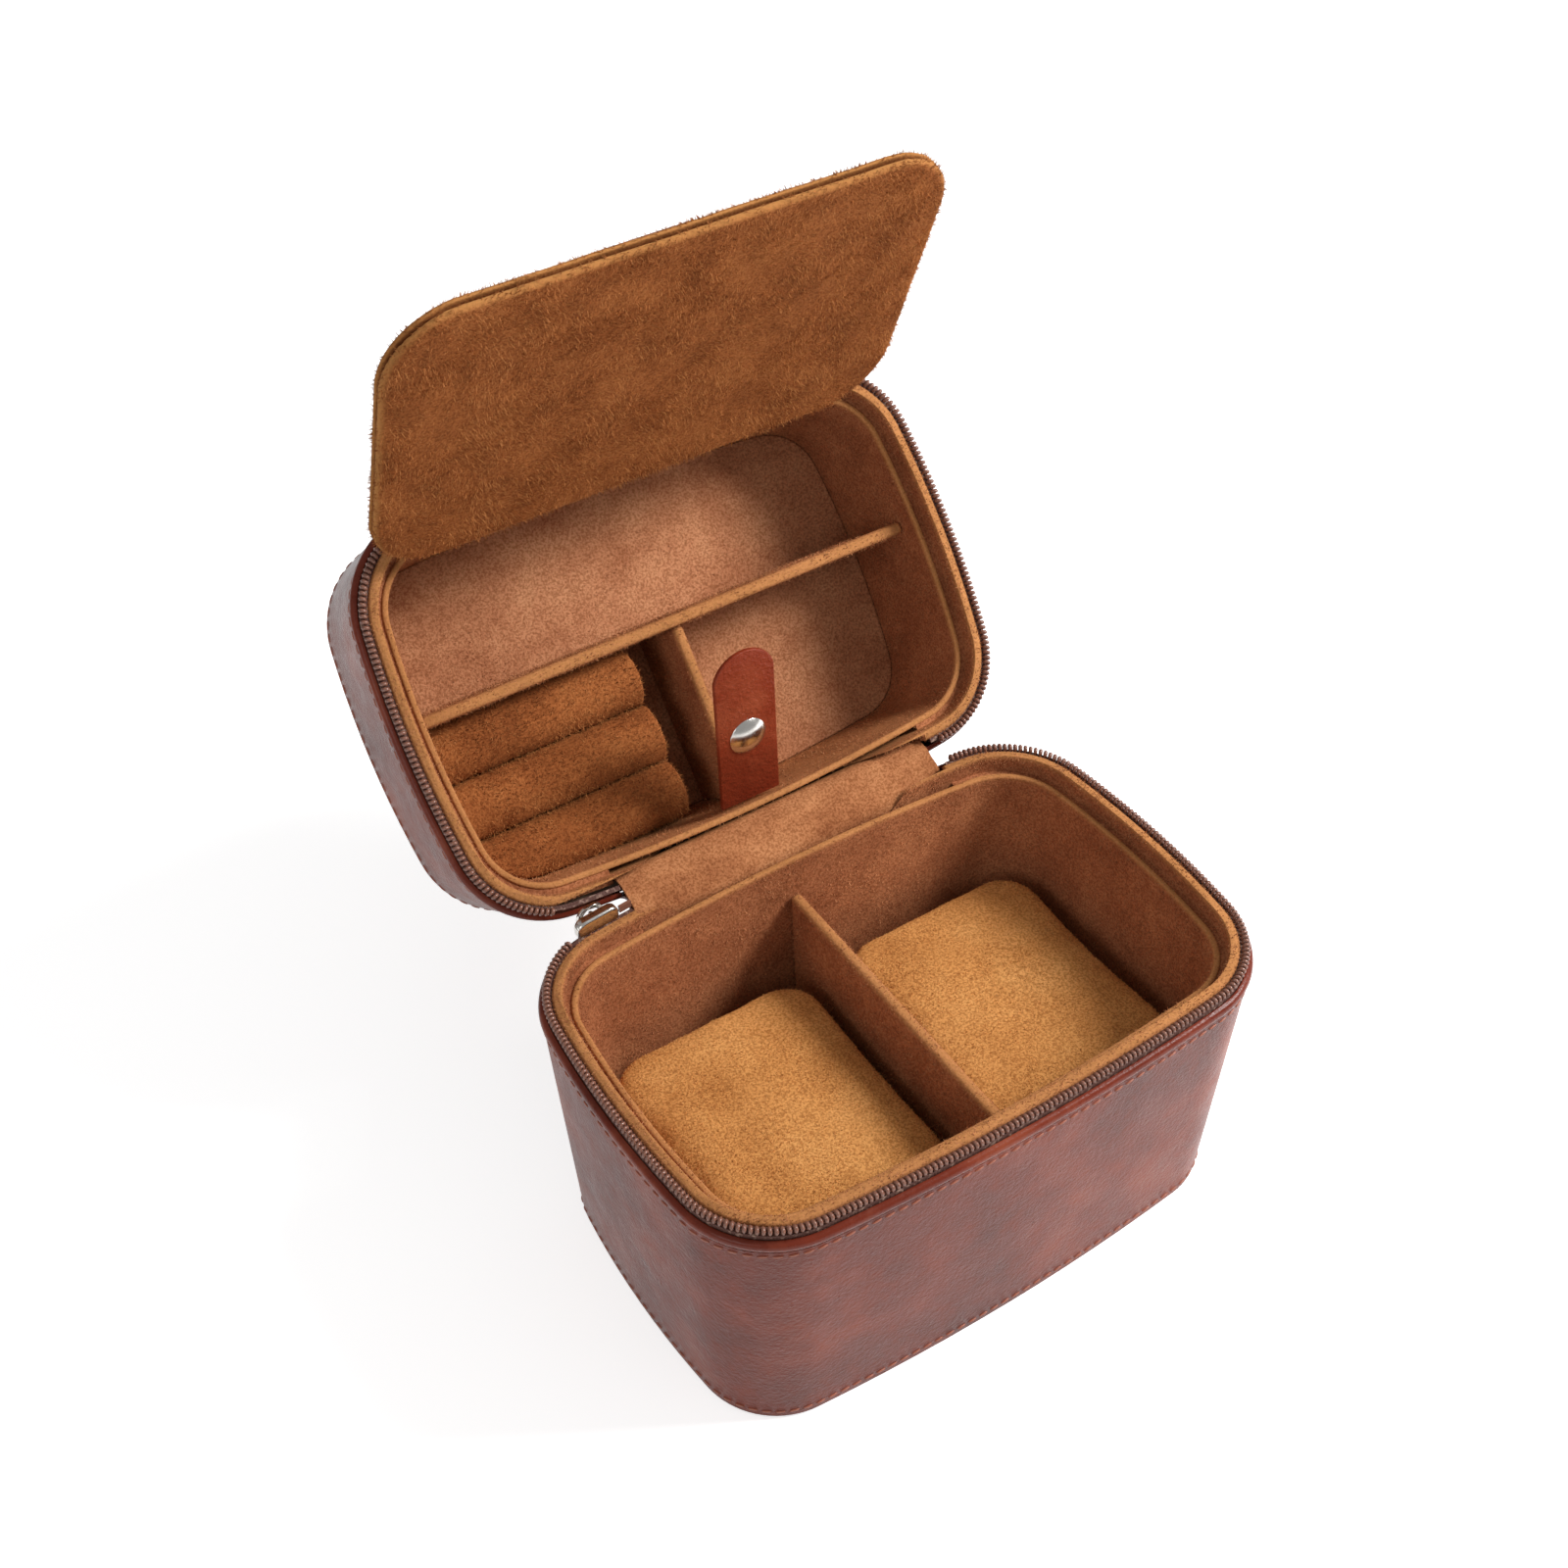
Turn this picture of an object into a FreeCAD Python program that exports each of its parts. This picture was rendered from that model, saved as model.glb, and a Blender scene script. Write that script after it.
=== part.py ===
import FreeCAD, Part
import math
import os

from FreeCAD import Vector

# Zip-around leather jewellery case, lid open, in millimetres.
# +Z is up, -Y is the front, +Y is the hinge side, and the origin is the centre of the bottom face.

# Plan of the case at the rim: each side is a long shallow arc, and the corners are tangent arcs.
half_width = 75.0
half_depth = 51.0
front_radius = 580.0
side_radius = 250.0
corner_radius = 24.0
wall_slope = 0.053

# Heights of the two halves, measured from the plane where they meet.
base_depth = 75.2
lid_depth = 41.0

# Layers of a half, from the outside in.
leather = 1.0
board = 1.8
skin_gap = 0.1
tape_thickness = 0.7
coil_width = 1.8
coil_overhang = 0.5
collar_thickness = 2.4
collar_gap = 0.4
tray_gap = 1.2
tray_wall = 1.6
floor_pad = 2.0

# Heights of the rim pieces below the meeting plane.
binding_low = 6.2
binding_high = 3.2
binding_bulge = 0.5
tape_low = 9.0
tape_high = 1.9
collar_low = 14.0
collar_high = 0.6
collar_round = 0.6
tray_drop = 4.6

# Zip teeth.
tooth_pitch = 2.8
tooth_share = 0.42
tooth_reach = 0.6
coil_rail = 0.9

# Hinge.
hinge_left = -40.0
hinge_right = 46.0
hinge_inset = 1.2
hinge_window = 10.0
lid_open = 131.0
hinge_sheet = 0.7
lining_low = 9.0
lining_inset = 0.5
hinge_crease = 2.2

# Where the coils and tapes stop, beside the hinge.
coil_left_end = -57.0
coil_right_end = 49.0

# Base fittings.
divider_thickness = 3.0
base_divider_drop = 15.2
cushion_width = 53.5
cushion_depth = 64.0
cushion_top_drop = 30.2
cushion_from_middle = 5.5
cushion_corner = 9.0
cushion_crown = 2.4
seat_gap = 0.3

# Lid fittings.
long_divider_y = -4.0
long_divider_drop = 10.0
short_divider_x = 1.0
short_divider_drop = 12.0
roll_count = 3
roll_left = -65.0
roll_right = -11.0
roll_rise = 5.0
roll_top_drop = 15.5
roll_gap = 0.4

# Flap.
flap_width = 129.0
flap_length = 80.0
flap_corner = 17.0
flap_axis_y = -40.5
flap_drop = 0.6
flap_edge = 1.0
flap_pad_inner = 1.6
flap_board = 0.9
flap_pad_outer = 1.3
flap_board_margin = 2.5
flap_open = 117.0
flap_round = 0.7
strip_width = 64.0
strip_inset = 1.4
strip_leaf = 9.0
strip_thickness = 0.6
patch_width = 30.0
patch_length = 20.0
patch_x = -9.0
patch_thickness = 0.9
patch_round = 4.0
stud_radius = 3.4
stud_height = 1.7
stud_from_edge = 12.0

# Snap tab.
tab_width = 16.0
tab_length = 44.0
tab_thickness = 1.2
tab_root_y = 41.4
tab_root_drop = 7.2
tab_lift = 39.0
cap_from_root = 19.5
cap_radius = 5.0
cap_height = 1.9
socket_radius = 4.0
socket_height = 1.2

# Zip slider, its bail and its pull.
slider_x = -49.6
slider_length = 11.0
slider_height = 5.6
slider_plate = 0.7
slider_channel = 1.1
slider_nose = 3.0
slider_nose_height = 2.0
chain_start = 0.6
chain_length = 3.2
chain_height = 1.8
bail_radius = 1.5
bail_wire = 0.4
pull_width = 7.0
pull_length = 28.0
pull_thickness = 0.9
pull_hole = 2.2
pull_rim = 0.7
pull_back = 1.5
collar_notch = 1.3

UP = Vector(0, 0, 1)
ALONG_X = Vector(1, 0, 0)
hinge_y = half_depth - hinge_inset
hinge_axis = Vector(0, hinge_y, base_depth)

os.makedirs("parts", exist_ok=True)


def save(name, shape):
    shape.exportStep("parts/" + name + ".step")
    print(name, len(shape.Solids), round(shape.Volume, 1), shape.isValid())


def corner_centre():
    """Centre of the corner arc that is tangent to a front arc and a side arc."""
    front_y = half_depth - front_radius
    side_x = half_width - side_radius
    reach_front = front_radius - corner_radius
    reach_side = side_radius - corner_radius
    apart = math.hypot(side_x, front_y)
    along = (reach_front ** 2 - reach_side ** 2 + apart ** 2) / (2 * apart)
    across = math.sqrt(reach_front ** 2 - along ** 2)
    ux = side_x / apart
    uy = -front_y / apart
    x = ux * along + uy * across
    y = front_y + uy * along - ux * across
    return Vector(abs(x), y, 0)


CORNER = corner_centre()
TO_FRONT = (CORNER - Vector(0, half_depth - front_radius, 0)).normalize()
TO_SIDE = (CORNER - Vector(half_width - side_radius, 0, 0)).normalize()
TO_CORNER = (TO_FRONT + TO_SIDE).normalize()


def outline(inset, z):
    """The plan of the case, moved in by inset, as a wire of eight arcs at height z."""
    back = CORNER + TO_FRONT * (corner_radius - inset)
    mid = CORNER + TO_CORNER * (corner_radius - inset)
    side = CORNER + TO_SIDE * (corner_radius - inset)
    top = half_depth - inset
    wide = half_width - inset

    def at(point, sx, sy):
        return Vector(point.x * sx, point.y * sy, z)

    arcs = [
        (at(back, -1, 1), Vector(0, top, z), at(back, 1, 1)),
        (at(back, 1, 1), at(mid, 1, 1), at(side, 1, 1)),
        (at(side, 1, 1), Vector(wide, 0, z), at(side, 1, -1)),
        (at(side, 1, -1), at(mid, 1, -1), at(back, 1, -1)),
        (at(back, 1, -1), Vector(0, -top, z), at(back, -1, -1)),
        (at(back, -1, -1), at(mid, -1, -1), at(side, -1, -1)),
        (at(side, -1, -1), Vector(-wide, 0, z), at(side, -1, 1)),
        (at(side, -1, 1), at(mid, -1, 1), at(back, -1, 1)),
    ]
    return Part.Wire([Part.Arc(*points).toShape() for points in arcs])


def rounded_rectangle(centre, width, depth, radius, z):
    """A rectangle of lines with arc corners, at height z."""
    x, y = width / 2, depth / 2
    k = radius * (1 - math.sqrt(0.5))
    edges = []
    for sx, sy in ((1, 1), (-1, 1), (-1, -1), (1, -1)):
        first = Vector(sx * x, sy * (y - radius), 0)
        last = Vector(sx * (x - radius), sy * y, 0)
        if sx * sy < 0:
            first, last = last, first
        mid = Vector(sx * (x - k), sy * (y - k), 0)
        edges.append((first, mid, last))
    shift = Vector(centre[0], centre[1], z)
    pieces = []
    for index, (first, mid, last) in enumerate(edges):
        following = edges[(index + 1) % 4][0]
        pieces.append(Part.Arc(first + shift, mid + shift, last + shift).toShape())
        pieces.append(Part.LineSegment(last + shift, following + shift).toShape())
    return Part.Wire(pieces)


def loft(wires):
    return Part.makeLoft(wires, True, True)


def tub(levels):
    """A closed solid through (height, inset) levels, with the wall's slope added to each inset."""
    return loft([outline(inset - wall_slope * z, z) for z, inset in levels])


def ring(outer, inner):
    """What lies between two profiles of (height, inset) levels."""
    low = inner[0]
    high = inner[-1]
    longer = [(low[0] - 1, low[1])] + list(inner[1:-1]) + [(high[0] + 1, high[1])]
    return tub(outer).cut(tub(longer))


def box(x0, x1, y0, y1, z0, z1):
    return Part.makeBox(x1 - x0, y1 - y0, z1 - z0, Vector(x0, y0, z0))


def hinge_gap(left, right, low, inset):
    """The space at the back that the hinge strips take, from height low up."""
    return box(left, right, half_depth - inset, half_depth + 5, low, 5)


def extrude_along_x(points, x0, x1):
    wire = Part.makePolygon([Vector(x0, y, z) for y, z in points + points[:1]])
    return Part.Face(wire).extrude(Vector(x1 - x0, 0, 0))


def band(points, thickness):
    """Outline of a strip of even thickness along a run of (y, z) points."""
    left, right = [], []
    for index, point in enumerate(points):
        before = points[max(index - 1, 0)]
        after = points[min(index + 1, len(points) - 1)]
        normals = []
        for start, end in ((before, point), (point, after)):
            run = math.hypot(end[0] - start[0], end[1] - start[1])
            if run > 0:
                normals.append(((start[1] - end[1]) / run, (end[0] - start[0]) / run))
        ny = sum(n[0] for n in normals)
        nz = sum(n[1] for n in normals)
        size = math.hypot(ny, nz)
        ny, nz = ny / size, nz / size
        reach = thickness / 2 / (ny * normals[0][0] + nz * normals[0][1])
        left.append((point[0] + ny * reach, point[1] + nz * reach))
        right.append((point[0] - ny * reach, point[1] - nz * reach))
    return left + right[::-1]


# Insets of the layers, from the outside in.
board_out = leather + skin_gap
board_in = board_out + board
tape_out = leather + 2 * skin_gap
tape_in = tape_out + tape_thickness
coil_out = tape_out - coil_overhang
coil_in = coil_out + coil_width
collar_out = max(coil_in + collar_gap, board_in + skin_gap)
collar_in = collar_out + collar_thickness
tray_out = collar_in + tray_gap
tray_in = tray_out + tray_wall
coil_middle = (coil_out + coil_in) / 2
board_high = tape_low + 2 * skin_gap
floor_low = leather + skin_gap + board + skin_gap
floor_high = floor_low + floor_pad


def back_y(x, inset):
    """The back line of the plan at x, moved in by inset."""
    return half_depth - front_radius + math.sqrt((front_radius - inset) ** 2 - x ** 2)


def zip_coil(phase):
    """A rail with a tooth at every pitch, left out beside the hinge."""
    rail_levels = [(-tape_high, coil_out), (-coil_rail, coil_out)]
    inner_levels = [(-tape_high, coil_in), (-coil_rail, coil_in)]
    rail = ring(rail_levels, inner_levels)
    path = outline(coil_middle, 0)
    count = 2 * round(path.Length / tooth_pitch)
    points = path.discretize(Number=count + 1)
    length = tooth_pitch * tooth_share
    width = coil_in - coil_out
    teeth = []
    for index in range(phase, count, 2):
        here = points[index]
        if here.y > 0 and coil_left_end - length < here.x < coil_right_end + length:
            continue
        ahead = points[(index + 1) % count] - points[index - 1]
        tooth = box(-length / 2, length / 2, -width / 2, width / 2, -coil_rail - 0.2, tooth_reach)
        tooth.rotate(Vector(), UP, math.degrees(math.atan2(ahead.y, ahead.x)))
        tooth.translate(here)
        teeth.append(tooth)
    gap = hinge_gap(coil_left_end, coil_right_end, -20, 20)
    return rail.cut(gap).multiFuse(teeth).removeSplitter()


def half(depth, phase):
    """The pieces of one half, open upwards, with the meeting plane at height 0."""
    floor = -depth
    gap_leather = hinge_gap(hinge_left, hinge_right, -hinge_window, board_in + 0.5)
    gap_zip = hinge_gap(coil_left_end, coil_right_end, -20, 20)
    gap_lining = hinge_gap(hinge_left, hinge_right, -20, tray_out - skin_gap)
    pieces = {}
    pieces["panel_leather"] = tub([(floor, 0.8), (floor + 0.5, 0.2), (floor + leather, 0)])
    wall_low = floor + leather + skin_gap
    wall_high = -binding_low - skin_gap
    wall = ring([(wall_low, 0), (wall_high, 0)], [(wall_low, leather), (wall_high, leather)])
    pieces["wall_leather"] = wall.cut(gap_leather)
    bulge = [
        (-binding_low, 0.4),
        (-binding_low + 0.6, 0.2 - binding_bulge),
        ((-binding_low - binding_high) / 2, -binding_bulge),
        (-binding_high - 0.6, 0.2 - binding_bulge),
        (-binding_high, 0.4),
    ]
    straight = [(-binding_low, leather), (-binding_high, leather)]
    pieces["rim_binding"] = ring(bulge, straight).cut(gap_leather)
    shell = [(wall_low, board_out), (-board_high, board_out)]
    inside = [(wall_low, board_in), (-board_high, board_in)]
    pieces["wall_board"] = ring(shell, inside).cut(gap_leather)
    plate = floor + leather + skin_gap
    pieces["panel_board"] = tub([(plate, board_in + skin_gap), (plate + board, board_in + skin_gap)])
    tape = ring(
        [(-tape_low, tape_out), (-tape_high, tape_out)],
        [(-tape_low, tape_in), (-tape_high, tape_in)],
    )
    pieces["zip_tape"] = tape.cut(gap_zip)
    pieces["zip_coil"] = zip_coil(phase)
    shoulder = -collar_high - collar_round
    collar = ring(
        [(-collar_low, collar_out), (shoulder, collar_out), (-collar_high, collar_out + collar_round)],
        [(-collar_low, collar_in), (shoulder, collar_in), (-collar_high, collar_in - collar_round)],
    )
    pieces["collar"] = collar.cut(gap_lining)
    tray_low = floor + floor_low
    pieces["tray_wall"] = ring(
        [(tray_low, tray_out), (-tray_drop, tray_out)],
        [(tray_low, tray_in), (-tray_drop, tray_in)],
    )
    pad = [(tray_low, tray_in + skin_gap), (floor + floor_high, tray_in + skin_gap)]
    pieces["floor_pad"] = tub(pad)
    return pieces


def room(depth, clearance):
    """The space inside the tray wall and above the floor pad."""
    edge = tray_in + clearance
    return tub([(-depth + floor_high, edge), (0, edge)])


def place_base(shape):
    placed = shape.copy()
    placed.translate(UP * base_depth)
    return placed


def place_lid(shape):
    """Turn a half over on to the base, then open it about the hinge."""
    placed = shape.mirror(Vector(), UP)
    placed.translate(UP * base_depth)
    placed.rotate(hinge_axis, ALONG_X, -lid_open)
    return placed


# Base: shell, lining and divider.
for name, piece in half(base_depth, 0).items():
    save("base_" + name.replace("panel", "bottom"), place_base(piece))

base_room = room(base_depth, skin_gap)
divider = box(
    -divider_thickness / 2,
    divider_thickness / 2,
    -half_depth,
    half_depth,
    -base_depth,
    -base_divider_drop,
)
save("base_divider", place_base(divider.common(base_room)))


def cushion(side):
    """A watch cushion: crowned top, sides drawn in between foot and shoulder."""
    low = -base_depth + floor_high
    high = -cushion_top_drop
    x = side * (cushion_from_middle + cushion_width / 2)
    levels = [
        (low, 3.0),
        (low + 3.0, 0.6),
        ((low + high) / 2, 1.4),
        (high - 5.5, 0.0),
        (high - cushion_crown, 1.6),
        (high - cushion_crown / 3, 4.2),
        (high, 9.0),
    ]
    wires = []
    for z, inset in levels:
        size = (cushion_width - 2 * inset, cushion_depth - 2 * inset)
        wires.append(rounded_rectangle((x, 0), size[0], size[1], cushion_corner, z))
    return loft(wires)


for side, name in ((-1, "left"), (1, "right")):
    save("watch_cushion_" + name, place_base(cushion(side)))

# Lid: shell, lining, dividers and ring rolls.
lid_pieces = half(lid_depth, 1)
notch_y = back_y(slider_x, collar_out + collar_notch)
notch = box(coil_left_end, slider_x + slider_length, notch_y, half_depth, -slider_height, 0)
lid_pieces["collar"] = lid_pieces["collar"].cut(notch)
for name, piece in lid_pieces.items():
    save("lid_" + name.replace("panel", "top"), place_lid(piece))

lid_room = room(lid_depth, skin_gap)
half_divider = divider_thickness / 2
long_divider = box(
    -half_width,
    half_width,
    long_divider_y - half_divider,
    long_divider_y + half_divider,
    -lid_depth,
    -long_divider_drop,
)
save("lid_long_divider", place_lid(long_divider.common(lid_room)))
near_y = long_divider_y + half_divider + skin_gap
short_divider = box(
    short_divider_x - half_divider,
    short_divider_x + half_divider,
    near_y,
    half_depth,
    -lid_depth,
    -short_divider_drop,
)
save("lid_short_divider", place_lid(short_divider.common(lid_room)))

roll_space = back_y(0, tray_in + wall_slope * lid_depth) - near_y
roll_pitch = roll_space / roll_count
for number in range(roll_count):
    y0 = near_y + number * roll_pitch + roll_gap / 2
    y1 = y0 + roll_pitch - roll_gap
    z_low = -lid_depth + floor_high
    z_side = -roll_top_drop - roll_rise
    corners = [Vector(roll_left, y, z) for y, z in ((y0, z_side), (y0, z_low), (y1, z_low), (y1, z_side))]
    crown = Vector(roll_left, (y0 + y1) / 2, -roll_top_drop)
    sides = [Part.LineSegment(corners[k], corners[k + 1]).toShape() for k in range(3)]
    top = Part.Arc(corners[3], crown, corners[0]).toShape()
    roll = Part.Face(Part.Wire(sides + [top])).extrude(Vector(roll_right - roll_left, 0, 0))
    save("ring_roll_" + str(number + 1), place_lid(roll.common(lid_room)))

# Flap: built shut in the lid, then opened about its own line.
flap_axis = Vector(0, flap_axis_y, -flap_drop)
flap_middle = flap_axis_y + flap_edge + flap_length / 2


def place_flap(shape):
    opened = shape.copy()
    opened.rotate(flap_axis, ALONG_X, flap_open)
    return place_lid(opened)


def flap_sheet(z_low, z_high, margin, low_round, high_round):
    wires = []
    low_step = z_low + low_round
    high_step = z_high - high_round
    for z, inset in ((z_low, low_round), (low_step, 0), (high_step, 0), (z_high, high_round)):
        if wires and z - wires[-1].BoundBox.ZMin < 0.01:
            continue
        grow = margin + inset
        size = (flap_width - 2 * grow, flap_length - 2 * grow)
        wires.append(rounded_rectangle((0, flap_middle), size[0], size[1], flap_corner - grow, z))
    return loft(wires)


outer_low = -flap_drop - flap_pad_outer
board_low = outer_low - flap_board
inner_low = board_low - flap_pad_inner
save("flap_outer_pad", place_flap(flap_sheet(outer_low, -flap_drop, 0, 0, flap_round)))
save("flap_board", place_flap(flap_sheet(board_low, outer_low, flap_board_margin, 0, 0)))
save("flap_inner_pad", place_flap(flap_sheet(inner_low, board_low, 0, flap_round, 0)))

flap_free_edge = flap_axis_y + flap_edge + flap_length
patch_middle = flap_free_edge - patch_length / 2 - flap_round
patch_wire = rounded_rectangle((patch_x, patch_middle), patch_width, patch_length, patch_round, -flap_drop)
patch = Part.Face(patch_wire).extrude(UP * patch_thickness)
save("flap_snap_patch", place_flap(patch))
stud_seat = Vector(0, flap_free_edge - stud_from_edge, -flap_drop + patch_thickness)
stud = Part.makeCylinder(stud_radius, stud_height / 3, stud_seat)
stud = stud.fuse(Part.makeCylinder(stud_radius / 2, stud_height, stud_seat))
save("flap_snap_stud", place_flap(stud.removeSplitter()))

# The strip that the flap turns on, from the collar to the flap's outer face.
open_angle = math.radians(flap_open)
run_y, run_z = math.cos(open_angle), math.sin(open_angle)
lift = strip_thickness / 2 + skin_gap
leaf_y = flap_axis_y - run_z * lift
leaf_z = -flap_drop + run_y * lift
strip_points = [
    (-half_depth + collar_in + strip_inset, -flap_drop - 3 * strip_thickness),
    (leaf_y + run_y * 0.5, leaf_z + run_z * 0.5),
    (leaf_y + run_y * strip_leaf, leaf_z + run_z * strip_leaf),
]
strip = extrude_along_x(band(strip_points, strip_thickness), -strip_width / 2, strip_width / 2)
save("flap_hinge_strip", place_lid(strip))

# Snap tab: built flat towards the front of the lid, then lifted about its root.
tab_root = Vector(0, tab_root_y, -tab_root_drop)
tab_tip = tab_root_y - tab_length
tab_half = tab_width / 2
tip_shoulder = tab_tip + tab_half * 0.8
tab_low = -tab_root_drop - tab_thickness / 2


def place_tab(shape):
    lifted = shape.copy()
    lifted.rotate(tab_root, ALONG_X, -tab_lift)
    return place_lid(lifted)


tab_corners = [
    Vector(-tab_half, tip_shoulder, tab_low),
    Vector(-tab_half, tab_root_y, tab_low),
    Vector(tab_half, tab_root_y, tab_low),
    Vector(tab_half, tip_shoulder, tab_low),
]
tab_edges = [Part.LineSegment(tab_corners[k], tab_corners[k + 1]).toShape() for k in range(3)]
tip_arc = Part.Arc(tab_corners[3], Vector(0, tab_tip, tab_low), tab_corners[0])
tab_edges.append(tip_arc.toShape())
tab = Part.Face(Part.Wire(tab_edges)).extrude(UP * tab_thickness)
save("snap_tab", place_tab(tab))

cap_seat = Vector(0, tab_root_y - cap_from_root, tab_low + tab_thickness)
dome_radius = (cap_radius ** 2 + cap_height ** 2) / (2 * cap_height)
dome = Part.makeSphere(dome_radius, cap_seat + UP * (cap_height - dome_radius))
cap = dome.common(Part.makeCylinder(cap_radius, cap_height, cap_seat))
save("snap_cap", place_tab(cap))
socket_seat = cap_seat - UP * (tab_thickness + socket_height)
socket = Part.makeCylinder(socket_radius, socket_height, socket_seat)
socket = socket.cut(Part.makeCylinder(socket_radius / 2, socket_height / 2, socket_seat))
save("snap_socket", place_tab(socket))

# Hinge strips, in the open pose: a folded leather strip outside and a suede lining inside.


def opened(y, z):
    """A point of the shut lid, in (y, z) from the hinge line, turned to the open pose."""
    angle = math.radians(lid_open)
    return (y * math.cos(angle) + z * math.sin(angle), -y * math.sin(angle) + z * math.cos(angle))


def from_hinge(points):
    return [(hinge_y + y, base_depth + z) for y, z in points]


sheet_y = hinge_inset - leather / 2 - hinge_sheet
low_run = (sheet_y, -hinge_window + skin_gap)
crease = (sheet_y, -hinge_crease)
outer_run = [low_run, crease, opened(*(sheet_y, hinge_crease)), opened(sheet_y, hinge_window - skin_gap)]
outer_strip = band(from_hinge(outer_run), hinge_sheet)
save("hinge_leather", extrude_along_x(outer_strip, hinge_left + seat_gap, hinge_right - seat_gap))
lining_y = hinge_inset - collar_in - lining_inset
lining_run = [
    (lining_y, -lining_low),
    (lining_y, -tray_drop),
    (-hinge_crease, -hinge_crease),
    opened(-hinge_crease, hinge_crease),
    opened(lining_y, tray_drop),
    opened(lining_y, lining_low),
]
lining_strip = band(from_hinge(lining_run), hinge_sheet)
save("hinge_lining", extrude_along_x(lining_strip, hinge_left + seat_gap, hinge_right - seat_gap))

# Zip slider: two plates on either side of the tapes, joined by a nose, with a bail and a pull outside.
tangent = math.degrees(math.atan2(-slider_x, front_radius))
slider_middle = Vector(slider_x, back_y(slider_x, (tape_out + tape_in) / 2), base_depth)


def place_slider(shape):
    placed = shape.copy()
    placed.rotate(Vector(), UP, tangent)
    placed.translate(slider_middle)
    return placed


long_half = slider_length / 2
high_half = slider_height / 2
channel_half = slider_channel / 2


def slider_plate_at(y0):
    wire = rounded_rectangle((0, 0), slider_length, slider_height, high_half * 0.8, 0)
    plate = Part.Face(wire).extrude(UP * slider_plate)
    plate.rotate(Vector(), ALONG_X, 90)
    plate.translate(Vector(0, y0 + slider_plate, 0))
    return plate


nose_half = slider_nose_height / 2
nose = box(-long_half + 1, -long_half + 1 + slider_nose, -channel_half, channel_half, -nose_half, nose_half)
slider = slider_plate_at(-channel_half - slider_plate).fuse(slider_plate_at(channel_half))
save("zip_slider", place_slider(slider.fuse(nose).removeSplitter()))
bail_seat = Vector(0, channel_half + slider_plate, 0)
bail = Part.makeTorus(bail_radius, bail_wire, bail_seat, ALONG_X)
behind = box(-5, 5, bail_seat.y, bail_seat.y + 5, -5, 5)
save("zip_slider_bail", place_slider(bail.common(behind)))
pull_y = bail_seat.y + pull_back
pull_top = pull_hole + pull_rim
pull_wire = rounded_rectangle((0, 0), pull_width, pull_length, pull_width * 0.4, 0)
pull = Part.Face(pull_wire).extrude(UP * pull_thickness)
pull.translate(Vector(0, pull_top - pull_length / 2, 0))
pull = pull.cut(Part.makeCylinder(pull_hole, 5, Vector(0, 0, -1)))
pull.rotate(Vector(), ALONG_X, 90)
pull.translate(Vector(0, pull_y + pull_thickness / 2, 0))
save("zip_pull", place_slider(pull))
chain_left = long_half + chain_start
tape_half = tape_thickness / 2
chain_half = chain_height / 2
chain = box(chain_left, chain_left + chain_length, -tape_half, tape_half, -chain_half, chain_half)
save("zip_chain_end", place_slider(chain))
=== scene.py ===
# %% [markdown]
# # A zip-around leather jewellery case, standing open
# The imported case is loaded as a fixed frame, and this lesson dresses it: pebbled leather outside,
# suede inside, a fine zip coil, sewn threads and polished metal. Every length is in metres, and +Z is up.
# The hard layers are traced from the frame's own solids, so that they keep their size.

# %% Load the frame
import math

import bpy
import numpy as np
from mathutils import Matrix, Vector, noise


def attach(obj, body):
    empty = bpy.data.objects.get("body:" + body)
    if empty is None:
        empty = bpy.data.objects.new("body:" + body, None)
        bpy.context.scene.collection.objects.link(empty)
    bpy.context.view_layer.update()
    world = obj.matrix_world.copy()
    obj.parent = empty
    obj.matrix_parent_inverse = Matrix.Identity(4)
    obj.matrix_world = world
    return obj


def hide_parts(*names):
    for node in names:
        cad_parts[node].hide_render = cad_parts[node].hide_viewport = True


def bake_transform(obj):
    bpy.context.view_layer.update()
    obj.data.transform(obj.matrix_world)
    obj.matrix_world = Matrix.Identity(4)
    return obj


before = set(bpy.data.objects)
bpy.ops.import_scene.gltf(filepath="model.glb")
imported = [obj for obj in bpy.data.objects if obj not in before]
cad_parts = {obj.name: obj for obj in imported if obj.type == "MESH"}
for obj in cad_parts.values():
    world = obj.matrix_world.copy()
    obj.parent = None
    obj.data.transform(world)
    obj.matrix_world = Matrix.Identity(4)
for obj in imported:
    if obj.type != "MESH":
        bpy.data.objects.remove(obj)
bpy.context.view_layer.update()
mm = 0.001
print("frame with", len(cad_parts), "nodes")

# %% [markdown]
# ## Where things are
# The case is two trays, modelled open side up with the plane where they meet at height 0.
# One matrix sets the base on the table, another turns the lid over and swings it open,
# and two more open the flap and lift the snap tab inside the lid. Pieces are modelled in a tray's
# own simple place and then moved by one of these.

# %% Places of the base, lid, flap and tab
base_depth = 75.2 * mm
lid_depth = 41.0 * mm
half_width = 75.0 * mm
half_depth = 51.0 * mm
hinge_inset = 1.2 * mm
hinge_left, hinge_right = -40.0 * mm, 46.0 * mm
hinge = Vector((0, half_depth - hinge_inset, base_depth))
lid_open, flap_open, tab_lift = 131, 117, 39
flap_axis = Vector((0, -40.5 * mm, -0.6 * mm))
tab_root_y = 41.4 * mm
tab_root = Vector((0, tab_root_y, -7.2 * mm))


def turn_about(point, degrees):
    """A turn about a line along X through a point."""
    there = Matrix.Translation(point)
    return there @ Matrix.Rotation(math.radians(degrees), 4, "X") @ there.inverted()


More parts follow.
